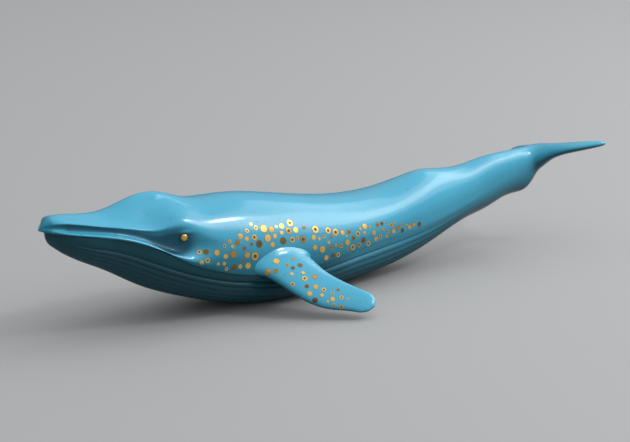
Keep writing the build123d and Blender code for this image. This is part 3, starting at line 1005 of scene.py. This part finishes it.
# %% Glaze material
def blue_glaze():
    """Thick glossy glaze, deep where it pools, thin on edges, wiped off the foot, with painted shade on the
    underside, throat, low flanks, nose, cove and eye hollow, where it also reflects less.
    """
    glaze = Finish("blue glaze", "SMOOTHSTEP")
    hollow = glaze.stored("hollow")
    # Painted shade: the underside value mixes in the dark teal, and the hollow value mixes in the deep blue
    # of pooled glaze and painted shade.
    underside_shade, pool_and_shade = glaze.ranged(glaze.stored("under"), underside_shade_range), glaze.ranged(hollow, pool_range)
    drift = glaze.mixed(glaze.ranged(glaze.noise(drift_scale), drift_range), glaze_blue, drifted_blue)
    pooled_and_shaded = glaze.mixed(pool_and_shade, glaze.mixed(underside_shade, drift, belly_shade_teal), pool_and_shade_blue)
    thinned = glaze.mixed(glaze.ranged(hollow, thin_range, (0.0, thin_most)), pooled_and_shaded, thin_blue)
    speck = glaze.ranged(glaze.noise(speck_scale, 0), speck_range, (0.0, speck_most))
    specked = glaze.mixed(speck, thinned, speck_brown)
    height = glaze.nodes.new("ShaderNodeSeparateXYZ")
    glaze.link(glaze.place, height.inputs[0])
    bare = glaze.ranged(height.outputs["Z"], bare_heights)
    glaze.feed(glaze.mixed(bare, specked, bare_clay), "Base Color")
    rough = glaze.nodes.new("ShaderNodeMath")
    rough.operation = "MULTIPLY_ADD"
    glaze.link(bare, rough.inputs[0])
    rough.inputs[1].default_value = bare_roughness
    glaze.link(glaze.ranged(glaze.noise(gloss_scale), gloss_range, gloss_roughness), rough.inputs[2])
    glaze.feed(rough.outputs[0], "Roughness")
    # Where shade is painted the glaze also reflects less, as painted shade on its shine.
    deep = glaze.combined("MAXIMUM", underside_shade, pool_and_shade)
    glaze.feed(glaze.ranged(deep, (0.0, 1.0), clear_to_deep_and_shaded_specular), "Specular IOR Level")
    glaze.feed(glaze.ranged(deep, (0.0, 1.0), clear_to_deep_and_shaded_coat), "Coat Weight")
    ripple = glaze.nodes.new("ShaderNodeBump")
    ripple.inputs["Strength"].default_value = ripple_strength
    ripple.inputs["Distance"].default_value = ripple_depth
    glaze.link(glaze.noise(ripple_scale, ripple_detail), ripple.inputs["Height"])
    glaze.feed(ripple.outputs["Normal"], "Normal")
    glaze.shader.inputs["IOR"].default_value = glaze_refraction
    glaze.shader.inputs["Coat Roughness"].default_value = coat_roughness
    return glaze.material


glaze = blue_glaze()
for piece in glazed:
    piece.data.materials.clear()
    piece.data.materials.append(glaze)
print("glazed", [piece.name for piece in glazed])

# %% [markdown]
# ## Gold lustre
# Lustre is a film of real gold a fraction of a micron thick. It mirrors like metal, but it is worn and brown
# where it lies thin: at the rim of each spot, in a ring round its middle and in small blemishes. Some whole
# spots were brushed on thin and fire brown. Where a spot is left open, deep glaze shows in its middle.

# %% Gold material
bright_gold = (0.72, 0.46, 0.13, 1)
burnt_gold = (0.13, 0.07, 0.02, 1)
worn_scale, worn_range, worn_most = 900, (0.55, 0.75), 0.5
worn_span, worn_roughness = (0.3, 0.8), (0.2, 0.42)
brown_range, brown_most = (0.64, 0.86), 0.85
rim_range, inner_rim_range, centre_range = (0.86, 0.98), (0.5, 0.4), (0.34, 0.28)


def gold_lustre(name, with_rings):
    """Worn gold; with rings, each spot also gets its own depth of tone, a burnt rim and perhaps a hole."""
    gold = Finish(name, "LINEAR")
    worn = gold.noise(worn_scale)
    tone = gold.mixed(gold.ranged(worn, worn_range, (0.0, worn_most)), bright_gold, burnt_gold)
    if with_rings:
        ring, opened = gold.stored("ring"), gold.stored("open")
        tone = gold.mixed(gold.ranged(gold.stored("thin"), brown_range, (0.0, brown_most)), tone, burnt_gold)
        inner_rim = gold.combined("MULTIPLY", opened, gold.ranged(ring, inner_rim_range))
        tone = gold.mixed(gold.combined("MAXIMUM", gold.ranged(ring, rim_range), inner_rim), tone, burnt_gold)
        centre = gold.combined("MULTIPLY", opened, gold.ranged(ring, centre_range))
        tone = gold.mixed(centre, tone, pool_and_shade_blue)
        gold.feed(gold.ranged(centre, (0.0, 1.0), (1.0, 0.0)), "Metallic")
    else:
        gold.shader.inputs["Metallic"].default_value = 1.0
    gold.feed(tone, "Base Color")
    gold.feed(gold.ranged(worn, worn_span, worn_roughness), "Roughness")
    return gold.material


# %% Spots on both sides
flank_spots, flipper_spots = 96, 26
left_seed, right_seed = 11, 23
spot_gold = gold_lustre("gold lustre spots", True)
flank_mask = in_band & (upper_grid[..., 1] < 0)
spots = []
sides = (("left", 1, left_seed, left_flipper), ("right", -1, right_seed, right_flipper))
for word, facing, seed, skin in sides:
    mirror = np.array([1, facing, 1])
    thrown = throw_spots(upper_grid[flank_mask] * mirror, upper_normals[flank_mask] * mirror,
                         spot_size[flank_mask], flank_spots, seed)
    spots.append(lay_spots(word + "_flank_spots", thrown, upper_skin, spot_gold, seed))
    thrown = throw_spots(flipper_grid[on_top] * mirror, flipper_normals[on_top] * mirror,
                         flipper_size[on_top], flipper_spots, seed + 1)
    spots.append(lay_spots(word + "_flipper_spots", thrown, skin, spot_gold, seed + 1))

# %% Gild the eyes
eye_gold = gold_lustre("gold lustre eyes", False)
for piece in (left_eye, right_eye):
    piece.data.materials.append(eye_gold)
print("gilded", left_eye.name, right_eye.name)

# %% [markdown]
# ## On its table
# The whale rests on a plain pale floor in a product studio. A small window lamp gives the bright streaks on
# the head. A softbox on the tail side gives the long sheen on the back; it is a bright core inside a wider,
# weaker panel, so that its reflection fades softly. A dome of light, tilted towards the tail and the camera,
# fills the rest. The camera looks down a little on the left side of the head.

# %% Ride on the body
stands_for = {"upper_body": upper_skin, "lower_body": lower_skin, "left_flipper": left_flipper,
              "right_flipper": right_flipper, "tail_flukes": flukes, "left_eye": left_eye,
              "right_eye": right_eye}
for node, piece in stands_for.items():
    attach(piece, "root")
    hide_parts(node)
for piece in spots:
    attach(piece, "root")
print("pieces", len(stands_for) + len(spots))

# %% Floor
floor_size, floor_grey, floor_roughness = 6.0, (0.42, 0.42, 0.42, 1), 0.7
bpy.ops.mesh.primitive_plane_add(size=floor_size, location=(0, 0, 0))
table = bpy.context.object
table.name = "floor"
paper = bpy.data.materials.new("pale floor")
paper.use_nodes = True
paper.node_tree.nodes["Principled BSDF"].inputs["Base Color"].default_value = floor_grey
paper.node_tree.nodes["Principled BSDF"].inputs["Roughness"].default_value = floor_roughness
table.data.materials.append(paper)
print("floor", floor_size, "m wide")

# %% Lamps
Lamp = namedtuple("Lamp", "name place size watts")
lamp_aim = Vector((0, 0, 0.03))
lamps = [
    Lamp("window", (0.42, -0.44, 0.7), (0.17, 0.08), 1.0),
    Lamp("softbox core", (0.9, -0.25, 0.8), (1.3, 0.25), 2.6),
    Lamp("softbox", (0.94, -0.26, 0.85), (1.6, 0.7), 4.2),
]
for lamp in lamps:
    light = bpy.data.lights.new(lamp.name, "AREA")
    light.shape, light.size, light.size_y = "RECTANGLE", *lamp.size
    light.energy = lamp.watts
    holder = bpy.data.objects.new(lamp.name, light)
    holder.location = lamp.place
    holder.rotation_euler = (lamp_aim - Vector(lamp.place)).to_track_quat("-Z", "Y").to_euler()
    bpy.context.scene.collection.objects.link(holder)
print("lamps", [lamp.name for lamp in lamps])

# %% A tilted dome of light
horizon_light, overhead_light = 0.14, 1.18
dome_axis = (0.35, -0.3, 0.89)
dome_colour = (0.96, 0.98, 1, 1)
world = bpy.data.worlds.new("studio")
bpy.context.scene.world = world
world.use_nodes = True
nodes, link = world.node_tree.nodes, world.node_tree.links.new
heading = nodes.new("ShaderNodeVectorMath")
heading.operation = "DOT_PRODUCT"
link(nodes.new("ShaderNodeTexCoord").outputs["Generated"], heading.inputs[0])
heading.inputs[1].default_value = dome_axis
rising = nodes.new("ShaderNodeMapRange")
link(heading.outputs["Value"], rising.inputs["Value"])
rising.inputs["To Min"].default_value = horizon_light
rising.inputs["To Max"].default_value = overhead_light
link(rising.outputs["Result"], nodes["Background"].inputs["Strength"])
nodes["Background"].inputs["Color"].default_value = dome_colour
print("dome light from", horizon_light, "to", overhead_light)

# %% Camera
camera_target, camera_distance = Vector((-6.5, 0, 25.5)) * mm, 672 * mm
azimuth, elevation = radians(-36), radians(14.5)
lens_length, sensor_width, nearest_seen = 100, 36, 10 * mm
towards = Vector((sin(azimuth) * cos(elevation), -cos(azimuth) * cos(elevation), sin(elevation)))
camera = bpy.data.objects.new("camera", bpy.data.cameras.new("camera"))
camera.data.lens, camera.data.sensor_width = lens_length, sensor_width
camera.data.clip_start = nearest_seen
camera.location = camera_target + towards * camera_distance
camera.rotation_euler = (-towards).to_track_quat("-Z", "Y").to_euler()
bpy.context.scene.collection.objects.link(camera)
bpy.context.scene.camera = camera
bpy.context.scene.view_settings.view_transform = "Standard"
print("camera at", [round(side, 3) for side in camera.location])
